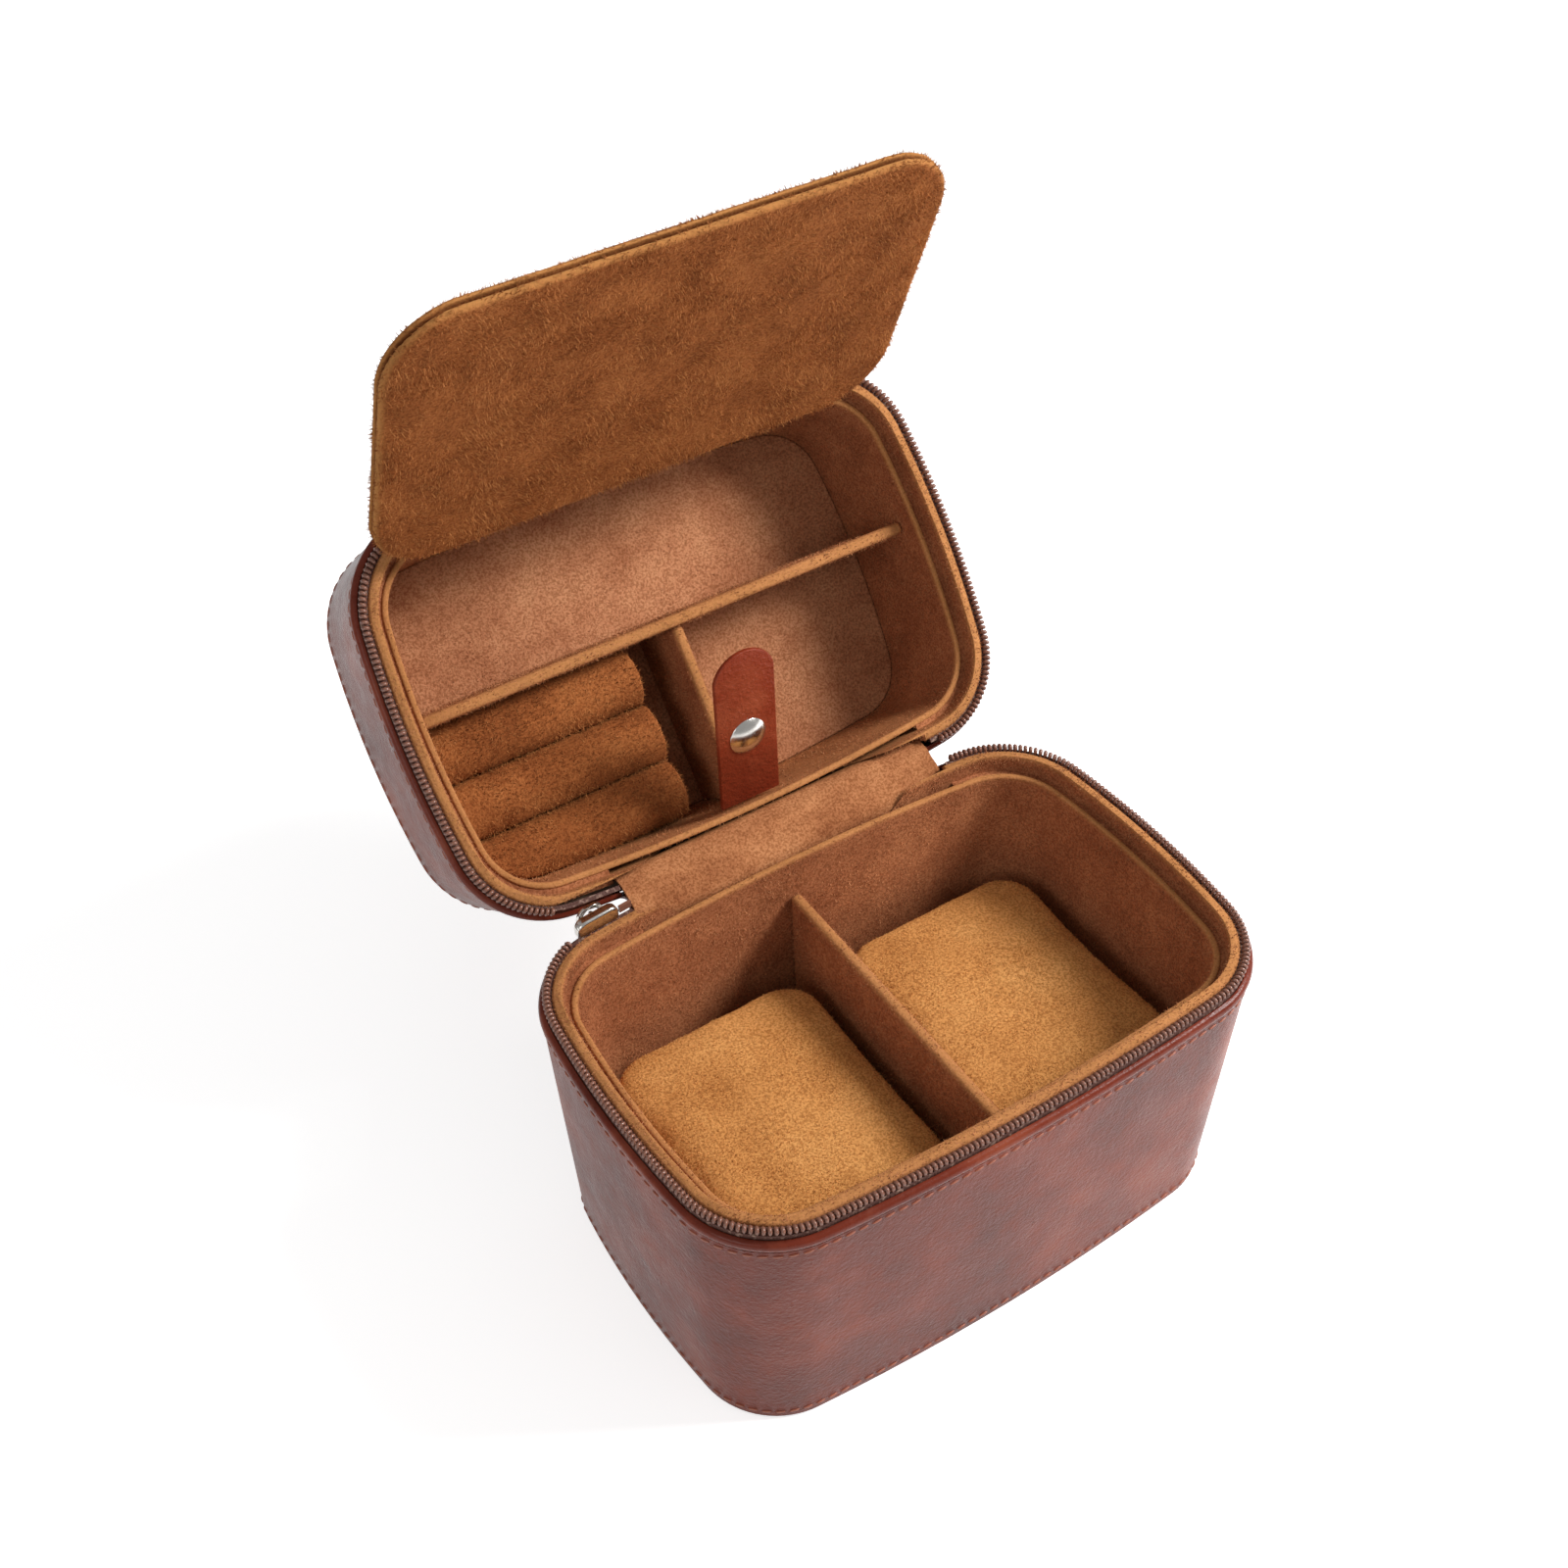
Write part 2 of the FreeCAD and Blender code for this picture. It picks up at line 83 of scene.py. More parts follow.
base_place = Matrix.Translation((0, 0, base_depth))
lid_place = turn_about(hinge, -lid_open) @ base_place @ Matrix.Scale(-1, 4, (0, 0, 1))
flap_place = lid_place @ turn_about(flap_axis, flap_open)
tab_place = lid_place @ turn_about(tab_root, -tab_lift)
print("lid's far edge at", [round(v, 3) for v in lid_place @ Vector((0, -half_depth, 0))])

# %% [markdown]
# ## Small tools
# Operators act on whatever is selected, so each tool starts by selecting one object alone.
# A frame node is loose triangles. A tracing of it is a copy whose doubled points are merged and whose
# flat triangles are joined into whole faces, which then takes a bevel like any hand-made mesh.

# %% Selecting, tracing and finishing
def select_only(piece):
    bpy.ops.object.select_all(action="DESELECT")
    piece.select_set(True)
    bpy.context.view_layer.objects.active = piece


def trace(node, name):
    """A merged copy of a frame node, free to be shaped."""
    piece = bpy.data.objects.new(name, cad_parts[node].data.copy())
    bpy.context.scene.collection.objects.link(piece)
    piece.data.materials.clear()
    select_only(piece)
    bpy.ops.mesh.customdata_custom_splitnormals_clear()
    bpy.ops.object.mode_set(mode="EDIT")
    bpy.ops.mesh.select_all(action="SELECT")
    bpy.ops.mesh.remove_doubles(threshold=1e-6)
    bpy.ops.mesh.dissolve_limited(angle_limit=math.radians(0.3))
    bpy.ops.mesh.normals_make_consistent(inside=False)
    bpy.ops.object.mode_set(mode="OBJECT")
    return piece


def add_modifier(piece, kind, **settings):
    """Adds a modifier, sets it and applies it."""
    select_only(piece)
    modifier = piece.modifiers.new(kind.title(), kind)
    for key, value in settings.items():
        setattr(modifier, key, value)
    bpy.ops.object.modifier_apply(modifier=modifier.name)


def round_edges(piece, width, segments=3, angle=35):
    limit = math.radians(angle)
    add_modifier(piece, "BEVEL", width=width, segments=segments, limit_method="ANGLE", angle_limit=limit)


def smooth(piece, angle=40):
    select_only(piece)
    bpy.ops.object.shade_smooth_by_angle(angle=math.radians(angle))


def move_mesh(piece, place):
    """Moves the mesh, and turns its faces round where the place mirrors it."""
    piece.data.transform(place)
    if place.determinant() < 0:
        piece.data.flip_normals()


def points_of(piece):
    points = np.zeros(len(piece.data.vertices) * 3)
    piece.data.vertices.foreach_get("co", points)
    return points.reshape(-1, 3)


def set_points(piece, points):
    piece.data.vertices.foreach_set("co", np.asarray(points, float).ravel())
    piece.data.update()


def paint(piece, name, values):
    """Keeps one number per point, for a material to read."""
    layer = piece.data.attributes.get(name) or piece.data.attributes.new(name, "FLOAT", "POINT")
    layer.data.foreach_set("value", np.asarray(values, np.float32))


def in_place(points, place):
    """World points in a tray's own place."""
    back = np.array(place.inverted())
    return points @ back[:3, :3].T + back[:3, 3]


def ripple(points, size, seed):
    """A smooth random number from -1 to 1 for each point."""
    shift = Vector((seed * 7.1, seed * 3.3, seed * 1.7))
    return np.array([noise.noise(Vector(p) / size + shift) for p in points])


def hand_in(piece, body, slot, material, *nodes):
    """Gives a finished piece its material, its body and the nodes it stands for."""
    piece.data.materials.clear()
    piece.data.materials.append(material)
    if body:
        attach(piece, body)
    if nodes:
        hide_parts(*nodes)
    print(piece.name, len(piece.data.polygons), "faces")


# %% [markdown]
# ## Finishes
# Leather, suede and woven tape each repeat over many pieces, so each pattern is a node group that puts
# out only heights and masks. The shader and its constant values stay in the material.
# Colours are written as the eye names them, 0 to 255, and turned into light values here.

# %% Colours and node helpers
def colour(r, g, b):
    def linear(c):
        c = c / 255
        return c / 12.92 if c <= 0.04045 else ((c + 0.055) / 1.055) ** 2.4
    return (linear(r), linear(g), linear(b), 1.0)


def new_group(name, inputs, outputs):
    group = bpy.data.node_groups.new(name, "ShaderNodeTree")
    for label, value in inputs.items():
        socket = group.interface.new_socket(label, in_out="INPUT", socket_type="NodeSocketFloat")
        socket.default_value = value
    for label in outputs:
        group.interface.new_socket(label, in_out="OUTPUT", socket_type="NodeSocketFloat")
    return group


def add(tree, kind, settings=None, **values):
    """A node with its settings, its input values and its input links."""
    node = tree.nodes.new("ShaderNode" + kind)
    for key, value in (settings or {}).items():
        setattr(node, key, value)
    for key, value in values.items():
        socket = node.inputs[key.replace("_", " ")]
        if isinstance(value, bpy.types.NodeSocket):
            tree.links.new(value, socket)
        else:
            socket.default_value = value
    return node


def ends(group):
    return group.nodes.new("NodeGroupInput"), group.nodes.new("NodeGroupOutput")


# Gold of the painted highlight on suede edges, and the tint of the suede's sheen.
highlight_gold = colour(198, 142, 82)

# %% Leather grain: pebbles with fine creases between them
grain = new_group("leather_grain", {"Pebbles": 1100.0, "Clouds": 28.0}, ["Height", "Shade", "Wear"])
g_in, g_out = ends(grain)
place = add(grain, "TexCoord").outputs["Object"]
warp = add(grain, "TexNoise", Vector=place, Scale=420.0, Detail=2.0)
bent = add(grain, "VectorMath", {"operation": "MULTIPLY_ADD"})
grain.links.new(warp.outputs["Color"], bent.inputs[0])
bent.inputs[1].default_value = (0.0009, 0.0009, 0.0009)
grain.links.new(place, bent.inputs[2])
pebbles = add(
    grain, "TexVoronoi", {"feature": "SMOOTH_F1"}, Vector=bent.outputs[0], Scale=g_in.outputs["Pebbles"]
)
pores = add(grain, "TexNoise", Vector=place, Scale=2600.0, Detail=3.0)
mixed = add(grain, "Math", {"operation": "MULTIPLY_ADD"})
grain.links.new(pebbles.outputs["Distance"], mixed.inputs[0])
mixed.inputs[1].default_value = -1.0
grain.links.new(pores.outputs["Fac"], mixed.inputs[2])
clouds = add(grain, "TexNoise", Vector=place, Scale=g_in.outputs["Clouds"], Detail=5.0, Roughness=0.6)
rubs = add(grain, "TexNoise", Vector=place, Scale=160.0, Detail=4.0, Roughness=0.7)
grain.links.new(mixed.outputs[0], g_out.inputs["Height"])
grain.links.new(clouds.outputs["Fac"], g_out.inputs["Shade"])
grain.links.new(rubs.outputs["Fac"], g_out.inputs["Wear"])
print(grain.name, len(grain.nodes), "nodes")

# %% Suede nap: brushed blotches over short fibres
nap = new_group("suede_nap", {"Blotches": 70.0, "Fibres": 1700.0}, ["Blotch", "Fibre"])
n_in, n_out = ends(nap)
place = add(nap, "TexCoord").outputs["Object"]
blotch = add(nap, "TexNoise", Vector=place, Scale=n_in.outputs["Blotches"], Detail=8.0, Roughness=0.68)
fibre = add(nap, "TexNoise", Vector=place, Scale=n_in.outputs["Fibres"], Detail=2.0, Roughness=0.7)
nap.links.new(blotch.outputs["Fac"], n_out.inputs["Blotch"])
nap.links.new(fibre.outputs["Fac"], n_out.inputs["Fibre"])
print(nap.name, len(nap.nodes), "nodes")

# %% Woven tape: crossing threads with pale specks
weave = new_group("tape_weave", {"Threads": 700.0}, ["Height", "Speck"])
w_in, w_out = ends(weave)
place = add(weave, "TexCoord").outputs["Object"]
knots = add(
    weave, "TexVoronoi", {"feature": "F1"}, Vector=place, Scale=w_in.outputs["Threads"], Randomness=0.35
)
level = add(weave, "Math", {"operation": "SUBTRACT"})
level.inputs[0].default_value = 1.0
weave.links.new(knots.outputs["Distance"], level.inputs[1])
specks = add(weave, "TexNoise", Vector=place, Scale=900.0, Detail=1.0)
weave.links.new(level.outputs[0], w_out.inputs["Height"])
weave.links.new(specks.outputs["Fac"], w_out.inputs["Speck"])
print(weave.name, len(weave.nodes), "nodes")


# %% Material makers
def start_material(name):
    material = bpy.data.materials.new(name)
    material.use_nodes = True
    return material, material.node_tree, material.node_tree.nodes["Principled BSDF"]


def use_group(tree, group, **values):
    node = tree.nodes.new("ShaderNodeGroup")
    node.node_tree = group
    for key, value in values.items():
        node.inputs[key].default_value = value
    return node


def ramp(tree, fac, *stops):
    node = tree.nodes.new("ShaderNodeValToRGB")
    while len(node.color_ramp.elements) < len(stops):
        node.color_ramp.elements.new(0.5)
    for element, (position, tint) in zip(node.color_ramp.elements, stops):
        element.position = position
        element.color = tint
    tree.links.new(fac, node.inputs["Fac"])
    return node.outputs["Color"]


def mix(tree, fac, first, second):
    node = tree.nodes.new("ShaderNodeMix")
    node.data_type = "RGBA"
    tree.links.new(fac, node.inputs["Factor"])
    for socket, value in ((node.inputs[6], first), (node.inputs[7], second)):
        if isinstance(value, bpy.types.NodeSocket):
            tree.links.new(value, socket)
        else:
            socket.default_value = value
    return node.outputs[2]


def leather_material(name, dark, mid, light, roughness, bump, pebbles):
    material, tree, shader = start_material(name)
    pattern = use_group(tree, grain, Pebbles=pebbles)
    tint = ramp(tree, pattern.outputs["Shade"], (0.3, dark), (0.55, mid), (0.8, light))
    rubbed = ramp(tree, pattern.outputs["Wear"], (0.5, (0, 0, 0, 1)), (0.85, (0.35, 0.35, 0.35, 1)))
    tree.links.new(mix(tree, rubbed, tint, light), shader.inputs["Base Color"])
    polished, dull = roughness - 0.06, roughness + 0.08
    rough = add(tree, "MapRange", From_Min=0.3, From_Max=0.7, To_Min=polished, To_Max=dull)
    tree.links.new(pattern.outputs["Wear"], rough.inputs["Value"])
    tree.links.new(rough.outputs["Result"], shader.inputs["Roughness"])
    shader.inputs["Specular IOR Level"].default_value = 0.16
    raised = add(tree, "Bump", Strength=bump, Distance=0.0003, Height=pattern.outputs["Height"])
    tree.links.new(raised.outputs["Normal"], shader.inputs["Normal"])
    return material


def suede_material(name, dark, mid, light, tip, sheen, blotches, bump=0.35):
    material, tree, shader = start_material(name)
    pattern = use_group(tree, nap, Blotches=blotches)
    tint = ramp(tree, pattern.outputs["Blotch"], (0.32, dark), (0.5, mid), (0.7, light))
    strands = ramp(tree, pattern.outputs["Fibre"], (0.4, (0.52, 0.43, 0.35, 1)), (0.58, (1, 1, 1, 1)))
    fibrous = tree.nodes.new("ShaderNodeMix")
    fibrous.data_type = "RGBA"
    fibrous.blend_type = "MULTIPLY"
    fibrous.inputs["Factor"].default_value = 0.8
    tree.links.new(tint, fibrous.inputs[6])
    tree.links.new(strands, fibrous.inputs[7])
    # The rim value mixes a gold painted highlight into the colour along top edges.
    edge = add(tree, "Attribute", {"attribute_name": "rim"}).outputs["Fac"]
    strand = add(tree, "Attribute", {"attribute_name": "strand"}).outputs["Fac"]
    brushed = mix(tree, strand, fibrous.outputs[2], tip)
    tree.links.new(mix(tree, edge, brushed, highlight_gold), shader.inputs["Base Color"])
    shader.inputs["Roughness"].default_value = 0.95
    shader.inputs["Specular IOR Level"].default_value = 0.1
    shader.inputs["Sheen Weight"].default_value = sheen
    shader.inputs["Sheen Roughness"].default_value = 0.45
    shader.inputs["Sheen Tint"].default_value = highlight_gold
    raised = add(tree, "Bump", Strength=bump, Distance=0.0004, Height=pattern.outputs["Fibre"])
    tree.links.new(raised.outputs["Normal"], shader.inputs["Normal"])
    return material


def woven_material(name, dark, pale, threads):
    material, tree, shader = start_material(name)
    pattern = use_group(tree, weave, Threads=threads)
    tint = ramp(tree, pattern.outputs["Speck"], (0.55, dark), (0.75, pale))
    tree.links.new(tint, shader.inputs["Base Color"])
    shader.inputs["Roughness"].default_value = 0.75
    raised = add(tree, "Bump", Strength=0.6, Distance=0.0003, Height=pattern.outputs["Height"])
    tree.links.new(raised.outputs["Normal"], shader.inputs["Normal"])
    return material


def plain_material(name, tint, roughness, metallic=0.0):
    material, tree, shader = start_material(name)
    shader.inputs["Base Color"].default_value = tint
    shader.inputs["Metallic"].default_value = metallic
    place = add(tree, "TexCoord").outputs["Object"]
    marks = add(tree, "TexNoise", Vector=place, Scale=700.0, Detail=4.0)
    rough = add(tree, "MapRange", To_Min=roughness * 0.7, To_Max=roughness * 1.3)
    tree.links.new(marks.outputs["Fac"], rough.inputs["Value"])
    tree.links.new(rough.outputs["Result"], shader.inputs["Roughness"])
    return material


# %% The case's finishes
case_leather = leather_material(
    "case_leather", colour(78, 28, 17), colour(112, 45, 28), colour(152, 74, 50),
    roughness=0.33, bump=0.6, pebbles=1000.0,
)
binding_leather = leather_material(
    "binding_leather", colour(86, 33, 21), colour(112, 45, 29), colour(154, 80, 54),
    roughness=0.26, bump=0.15, pebbles=1500.0,
)
tab_leather = leather_material(
    "tab_leather", colour(96, 32, 17), colour(130, 50, 28), colour(166, 84, 54),
    roughness=0.33, bump=0.6, pebbles=1000.0,
)
lining_suede = suede_material(
    "lining_suede", colour(146, 88, 58), colour(168, 106, 71), colour(188, 124, 84),
    tip=colour(222, 160, 112), sheen=0.2, blotches=60.0,
)
floor_suede = suede_material(
    "floor_suede", colour(172, 112, 78), colour(190, 130, 93), colour(204, 146, 106),
    tip=colour(230, 172, 128), sheen=0.15, blotches=90.0,
)
strip_suede = suede_material(
    "strip_suede", colour(150, 92, 58), colour(176, 116, 76), colour(196, 136, 92),
    tip=colour(214, 152, 106), sheen=0.15, blotches=80.0,
)
cushion_suede = suede_material(
    "cushion_suede", colour(196, 134, 74), colour(212, 150, 86), colour(224, 164, 98),
    tip=colour(246, 192, 124), sheen=0.15, blotches=60.0,
)
flap_suede = suede_material(
    "flap_suede", colour(132, 74, 38), colour(154, 90, 48), colour(174, 108, 60),
    tip=colour(220, 152, 92), sheen=0.2, blotches=75.0, bump=0.5,
)
tape_weave = woven_material("tape_weave", colour(82, 48, 38), colour(158, 128, 112), 1500.0)
coil_nylon = plain_material("coil_nylon", colour(126, 84, 68), 0.3)
thread = plain_material("thread", colour(150, 84, 60), 0.5)
board_card = plain_material("board_card", colour(120, 96, 76), 0.9)
nickel = plain_material("nickel", colour(214, 210, 204), 0.2, 1.0)
print(len(bpy.data.materials), "materials")

# %% [markdown]
# ## Leather outside
# The shells are board covered in thin pebbled leather, with a smooth rolled binding just under the zip.
# Their shape is already in the frame, so they are traced and shaded smooth, and the finish does the rest.

# %% Shells, bindings and boards
leather_nodes = {
    "base_bottom_leather": "base", "base_wall_leather": "base",
    "lid_top_leather": "lid", "lid_wall_leather": "lid",
}
for node, body in leather_nodes.items():
    shell = trace(node, node + "_skin")
    smooth(shell, 50)
    hand_in(shell, body, "case_leather", case_leather, node)
for body in ("base", "lid"):
    roll = trace(body + "_rim_binding", body + "_binding_roll")
    smooth(roll, 70)
    hand_in(roll, body, "binding_leather", binding_leather, body + "_rim_binding")
for node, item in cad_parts.items():
    if node.endswith("_board"):
        item.data.materials.clear()
        item.data.materials.append(board_card)

# %% [markdown]
# ## The line of the rim
# Threads, zip loops and the tape's fold all follow the plan of the case: long shallow arcs joined by
# round corners. The helper walks that line at a given inset and returns evenly spaced places,
# each a matrix with X along the line, Y inwards and Z up.

# %% Walking round the rim
front_radius = 580 * mm
side_radius = 250 * mm
corner_radius = 24 * mm
wall_slope = 0.053


def corner_centre():
    front = Vector((0, half_depth - front_radius))
    side = Vector((half_width - side_radius, 0))
    reach_front, reach_side = front_radius - corner_radius, side_radius - corner_radius
    apart = (side - front).length
    along = (reach_front ** 2 - reach_side ** 2 + apart ** 2) / (2 * apart)
    across = math.sqrt(reach_front ** 2 - along ** 2)
    out = (side - front) / apart
    sideways = Vector((out.y, -out.x))
    return front + out * along + sideways * across


corner = corner_centre()
corner.x = abs(corner.x)


def quarter_line(inset):
    """From the middle of the back to the middle of the right side."""
    front = Vector((0, half_depth - front_radius))
    side = Vector((half_width - side_radius, 0))
    turn_front = math.atan2(corner.x - front.x, corner.y - front.y)
    turn_side = math.atan2(corner.x - side.x, corner.y - side.y)
    points = []
    spans = ((front, front_radius, 0, turn_front), (corner, corner_radius, turn_front, turn_side),
             (side, side_radius, turn_side, math.pi / 2))
    for middle, radius, first, last in spans:
        for turn in np.linspace(first, last, 60, endpoint=False):
            reach = radius - inset
            points.append((middle.x + reach * math.sin(turn), middle.y + reach * math.cos(turn)))
    return points


def rim_ring(inset):
    """The whole plan as a closed run of points, from the middle of the back and to the right."""
    quarter = np.array(quarter_line(inset))
    side = np.array([[half_width - inset, 0.0]])
    right = np.vstack([quarter, side, quarter[:0:-1] * [1, -1]])
    front = np.array([[0.0, inset - half_depth]])
    return np.vstack([right, front, right[:0:-1] * [-1, 1], right[:1]])


def rim_places(inset, step, height, shift=0.0):
    """Matrices at even steps round the plan."""
    ring = rim_ring(inset)
    run = np.concatenate([[0], np.cumsum(np.linalg.norm(np.diff(ring, axis=0), axis=1))])
    count = int(round(run[-1] / step))
    look_ahead = 0.2 * mm
    places = []
    for index in range(count):
        here = (index + shift) * run[-1] / count
        x, y = np.interp(here, run, ring[:, 0]), np.interp(here, run, ring[:, 1])
        x2 = np.interp(here + look_ahead, run, ring[:, 0])
        y2 = np.interp(here + look_ahead, run, ring[:, 1])
        turn = Matrix.Rotation(math.atan2(y2 - y, x2 - x), 4, "Z")
        places.append(Matrix.Translation((x, y, height)) @ turn)
    return places


def beside_hinge(place, left, right):
    x, y = place.translation.x, place.translation.y
    return y > 0 and left < x < right


def copies(model, places, name):
    """One piece made of copies of a model, each with its own mesh, at these places."""
    made = []
    for place in places:
        twin = bpy.data.objects.new(name, model.data.copy())
        bpy.context.scene.collection.objects.link(twin)
        move_mesh(twin, place)
        made.append(twin)
    bpy.ops.object.select_all(action="DESELECT")
    for twin in made:
        twin.select_set(True)
    bpy.context.view_layer.objects.active = made[0]
    bpy.ops.object.join()
    bpy.data.objects.remove(model)
    return made[0]


print("rim is", len(rim_places(0, mm, 0)), "mm round")

# %% [markdown]
# ## Sewn threads
# Two rows of lock-stitch run round each half: one just under the binding, one near the panel's edge.
# A single stitch is a cube drawn out, rounded by subdivision and sunk half into the leather.
# It is copied along the rim, leaning a little, as hand-turned stitches do.

# %% One stitch, then the rows
stitch_size = (2.9 * mm, 0.7 * mm, 0.75 * mm)


def new_stitch():
    bpy.ops.object.select_all(action="DESELECT")
    bpy.ops.mesh.primitive_cube_add(size=1)
    stitch = bpy.context.object
    bpy.ops.transform.resize(value=stitch_size)
    bpy.ops.object.transform_apply(location=True, rotation=True, scale=True)
    add_modifier(stitch, "SUBSURF", levels=1, render_levels=1)
    smooth(stitch, 180)
    return stitch


stitch_step = 3.1 * mm
upper_row_drop, lower_row_rise = 7.7 * mm, 2.9 * mm
thread_sink = 0.02 * mm
stitch_gap = 1.5 * mm
lean = Matrix.Rotation(math.radians(7), 4, "Y")
for body, depth, tray in (("base", base_depth, base_place), ("lid", lid_depth, lid_place)):
    for row, height in (("upper", -upper_row_drop), ("lower", -depth + lower_row_rise)):
        inset = -wall_slope * height + thread_sink
        places = []
        for spot in rim_places(inset, stitch_step, height):
            if row == "upper" and beside_hinge(spot, hinge_left - stitch_gap, hinge_right + stitch_gap):
                continue
            places.append(tray @ spot @ lean)
        row_of_thread = copies(new_stitch(), places, body + "_" + row + "_stitches")
        hand_in(row_of_thread, body, "binding_leather", thread)

# %% [markdown]
# ## The zip
# The tapes are woven strips, traced from the frame. The coil is a nylon spiral: seen from above it is
# a row of fine cross-wise loops. One loop is a torus, squeezed a little, and copied at the
# coil's pitch. The lid's loops sit half a pitch on, so that the two rows mesh when the case is shut.
# A narrow fold of tape closes the gap between tape and collar, and a suede ledge closes the one between
# collar and tray wall.

# %% Tapes and coils
coil_pitch = 1.27 * mm
coil_inset, coil_drop = 1.8 * mm, 0.85 * mm
coil_left_end, coil_right_end = -57.0 * mm, 49.0 * mm
loop_radius, loop_thickness = 0.64 * mm, 0.47 * mm
loop_slant = math.radians(12)
loop_squeeze = (1.0, 0.92, 0.95)
strip_gap = 1.0 * mm


def new_loop():
    bpy.ops.object.select_all(action="DESELECT")
    bpy.ops.mesh.primitive_torus_add(
        major_segments=9, minor_segments=5, major_radius=loop_radius, minor_radius=loop_thickness,
        rotation=(0, math.radians(90), loop_slant),
    )
    loop = bpy.context.object
    bpy.ops.object.transform_apply(location=True, rotation=True, scale=True)
    bpy.ops.object.mode_set(mode="EDIT")
    bpy.ops.mesh.select_all(action="SELECT")
    bpy.ops.transform.resize(value=loop_squeeze)
    bpy.ops.object.mode_set(mode="OBJECT")
    smooth(loop, 180)
    return loop


def flat_ring(name, outer, inner, height, thickness, tray):
    """A flat strip round the rim between two insets, open beside the hinge."""
    rings = [rim_ring(outer), rim_ring(inner)]
    points = [(x, y, height) for ring in rings for x, y in ring]
    count = len(rings[0])
    faces = []
    for index in range(count - 1):
        x, y = rings[0][index]
        if not (y > 0 and hinge_left - strip_gap < x < hinge_right + strip_gap):
            faces.append((index, index + 1, count + index + 1, count + index))
    mesh = bpy.data.meshes.new(name)
    mesh.from_pydata(points, [], faces)
    strip = bpy.data.objects.new(name, mesh)
    bpy.context.scene.collection.objects.link(strip)
    select_only(strip)
    bpy.ops.object.mode_set(mode="EDIT")
    bpy.ops.mesh.select_all(action="SELECT")
    bpy.ops.mesh.delete_loose()
    bpy.ops.mesh.select_all(action="SELECT")
    bpy.ops.mesh.normals_make_consistent(inside=False)
    bpy.ops.object.mode_set(mode="OBJECT")
    add_modifier(strip, "SOLIDIFY", thickness=thickness, offset=0)
    move_mesh(strip, tray)
    return strip


for body, tray in (("base", base_place), ("lid", lid_place)):
    fold = flat_ring(
        body + "_tape_fold", outer=1.95 * mm, inner=3.05 * mm,
        height=-1.5 * mm, thickness=0.4 * mm, tray=tray,
    )
    hand_in(fold, body, "zip_tape", tape_weave)
    ledge = flat_ring(
        body + "_lining_ledge", outer=5.6 * mm, inner=6.9 * mm,
        height=-5.4 * mm, thickness=0.6 * mm, tray=tray,
    )
    hand_in(ledge, body, "lining_suede", lining_suede)
for body, tray, shift in (("base", base_place, 0.0), ("lid", lid_place, 0.5)):
    tape = trace(body + "_zip_tape", body + "_tape")
    smooth(tape, 40)
    hand_in(tape, body, "zip_tape", tape_weave, body + "_zip_tape")
    places = []
    for spot in rim_places(coil_inset, coil_pitch, -coil_drop, shift):
        if not beside_hinge(spot, coil_left_end, coil_right_end):
            places.append(tray @ spot)
    coil = copies(new_loop(), places, body + "_coil")
    hand_in(coil, body, "zip_coil", coil_nylon, body + "_zip_coil")

# %% [markdown]
# ## Pile
# Suede and plush are short cut fibres standing on a skin, which no smooth surface can imitate at an edge.
# Each fibre here is a tiny closed spike with three sides. Roots are scattered by area from a fixed seed,
# and the fibres lean along a slow random wind, as a brushed nap does. Each has its own paleness.

# %% Growing fibres on a piece
def unit(vectors):
    return vectors / np.maximum(np.linalg.norm(vectors, axis=1, keepdims=True), 1e-12)


def scatter(piece, per_mm2, draw, keep):
    """Random roots on a piece's faces, with the normals there."""
    mesh = piece.data
    mesh.calc_loop_triangles()
    corners = np.zeros(len(mesh.loop_triangles) * 3, np.int32)
    mesh.loop_triangles.foreach_get("vertices", corners)
    points = points_of(piece)
    a, b, c = (points[corners.reshape(-1, 3)[:, k]] for k in range(3))
    across = np.cross(b - a, c - a)
    area = np.linalg.norm(across, axis=1) / 2
    wanted = area * keep((a + b + c) / 3, unit(across)) if keep else area
    count = int(wanted.sum() / mm ** 2 * per_mm2)
    pick = draw.choice(len(area), count, p=wanted / wanted.sum())
    u, v = draw.random((2, count, 1))
    over = u + v > 1
    u, v = np.where(over, 1 - u, u), np.where(over, 1 - v, v)
    return a[pick] + u * (b - a)[pick] + v * (c - a)[pick], unit(across)[pick]


def grow_pile(piece, body, slot, material, per_mm2, length, seed, keep=None, thick=0.12 * mm):
    """A coat of fibres on a piece, as one piece of its own."""
    draw = np.random.default_rng(seed)
    root, up = scatter(piece, per_mm2, draw, keep)
    count = len(root)
    wind = np.column_stack([ripple(root, 11 * mm, seed + k) for k in range(3)])
    lean = unit(wind + 0.35 * draw.normal(size=(count, 3)))
    reach = length * draw.uniform(0.6, 1.0, (count, 1))
    tip = root + reach * unit(0.6 * up + 0.8 * lean)
    first = unit(np.cross(up, lean))
    second = np.cross(up, first)
    root_depth = 0.05 * mm
    thirds = (0, 2.094, 4.189)
    foot = root - root_depth * up
    ring = [foot + thick * (math.cos(t) * first + math.sin(t) * second) for t in thirds]
    points = np.stack(ring + [tip], axis=1).reshape(-1, 3)
    spike = np.array([(0, 1, 3), (1, 2, 3), (2, 0, 3), (2, 1, 0)])
    faces = (np.arange(count)[:, None, None] * 4 + spike).reshape(-1, 3)
    mesh = bpy.data.meshes.new(piece.name + "_pile")
    mesh.from_pydata(points.tolist(), [], faces.tolist())
    pile = bpy.data.objects.new(piece.name + "_pile", mesh)
    bpy.context.scene.collection.objects.link(pile)
    pale = draw.random((count, 1)) ** 1.3
    root_to_tip = [0.15, 0.15, 0.15, 1.0]
    paint(pile, "strand", (pale * root_to_tip).ravel())
    hand_in(pile, body, slot, material)
